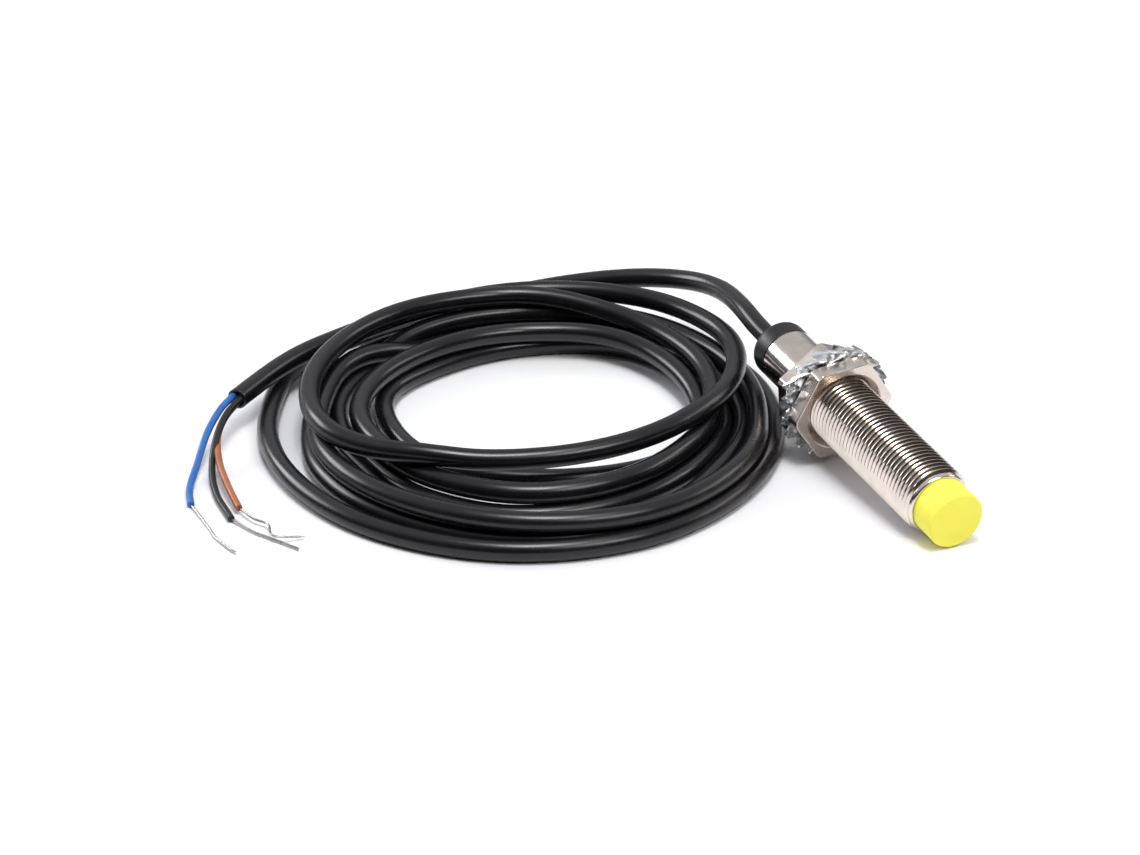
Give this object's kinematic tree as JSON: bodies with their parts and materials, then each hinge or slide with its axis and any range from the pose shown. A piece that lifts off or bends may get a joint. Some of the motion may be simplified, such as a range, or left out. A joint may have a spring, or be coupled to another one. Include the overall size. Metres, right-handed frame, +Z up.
{
  "type": "inductive proximity sensor",
  "caption": "Cylindrical M12 inductive proximity sensor with a protruding sensing cap, threaded barrel, mounting nuts, toothed lock washers and a coiled cable with stripped cores.",
  "frame": {"origin": "middle of the sensor's footprint on the surface it lies on, without the free cable", "axes": "+X from the cable end towards the sensing face, seen from above; +Z up. The barrel's own axis dips 7.23 degrees below +X, as the sensor lies on its washers and the front end of its thread"},
  "size_m": [0.1267, 0.118, 0.0206],
  "materials": {
    "nickel_plated_brass": "bright nickel plate, warm",
    "zinc_plated_steel": "bright bluish zinc plate",
    "yellow_plastic": "matte moulded plastic",
    "black_plastic": "satin moulded plastic",
    "cable_pvc": "satin extruded PVC",
    "blue_pvc": "semi-gloss extruded PVC",
    "brown_pvc": "semi-gloss extruded PVC",
    "black_pvc": "semi-gloss extruded PVC",
    "tinned_copper": "tinned copper",
    "copper_wire": "enamelled copper",
    "ferrite": "sintered ferrite",
    "natural_plastic": "moulded plastic",
    "board_laminate": "solder mask over glass laminate",
    "chip_epoxy": "moulded epoxy",
    "ceramic": "fired ceramic",
    "red_lens": "clear tinted epoxy",
    "film": "polyester film",
    "resin": "potting resin"
  },
  "bodies": {
    "sensor": {"threaded_barrel": "nickel_plated_brass", "sensing_cap": "yellow_plastic", "rear_end_cap": "black_plastic", "ferrite_core": "ferrite", "coil_bobbin": "natural_plastic", "coil_winding": "copper_wire", "coil_lead_a": "copper_wire", "coil_lead_b": "copper_wire", "circuit_board": "board_laminate", "oscillator_chip": "chip_epoxy", "tuning_capacitor": "ceramic", "bias_resistor": "chip_epoxy", "supply_capacitor": "ceramic", "output_transistor": "chip_epoxy", "current_resistor": "chip_epoxy", "polarity_diode": "chip_epoxy", "status_led": "red_lens", "insulating_sleeve": "film", "rear_potting": "resin", "cable_jacket_end": "cable_pvc", "inner_core_brown": "brown_pvc", "inner_core_black": "black_pvc", "inner_core_blue": "blue_pvc", "solder_joint_brown": "tinned_copper", "solder_joint_black": "tinned_copper", "solder_joint_blue": "tinned_copper", "cable_lead": "cable_pvc", "cable_coil": "cable_pvc", "cable_tail": "cable_pvc", "core_blue": "blue_pvc", "core_brown": "brown_pvc", "core_black": "black_pvc", "strands_blue": "tinned_copper", "strands_brown": "tinned_copper", "strands_black": "tinned_copper"},
    "front_washer": {"front_lock_washer": "zinc_plated_steel"},
    "front_nut": {"front_nut": "nickel_plated_brass"},
    "rear_washer": {"rear_lock_washer": "zinc_plated_steel"},
    "rear_nut": {"rear_nut": "nickel_plated_brass"}
  },
  "joints": [
    {"name": "front_washer_slide", "type": "slide", "parent": "sensor", "child": "front_washer", "axis": [0.992, 0, -0.1259], "range_m": [0, 0.03]},
    {"name": "front_nut_turn", "type": "hinge", "parent": "front_washer", "child": "front_nut", "pos_m": [-0.00756, 0, 0.00997], "axis": [0.992, 0, -0.1259], "range_deg": [0, 10800]},
    {"name": "rear_washer_slide", "type": "slide", "parent": "sensor", "child": "rear_washer", "axis": [0.992, 0, -0.1259], "range_m": [-0.0025, 0]},
    {"name": "rear_nut_turn", "type": "hinge", "parent": "rear_washer", "child": "rear_nut", "pos_m": [-0.01277, 0, 0.01063], "axis": [0.992, 0, -0.1259], "range_deg": [-900, 0]}
  ],
  "couplings": [
    {"joint": "front_washer_slide", "follows": "front_nut_turn", "m_per_rad": 0.00015915},
    {"joint": "rear_washer_slide", "follows": "rear_nut_turn", "m_per_rad": 0.00015915}
  ]
}
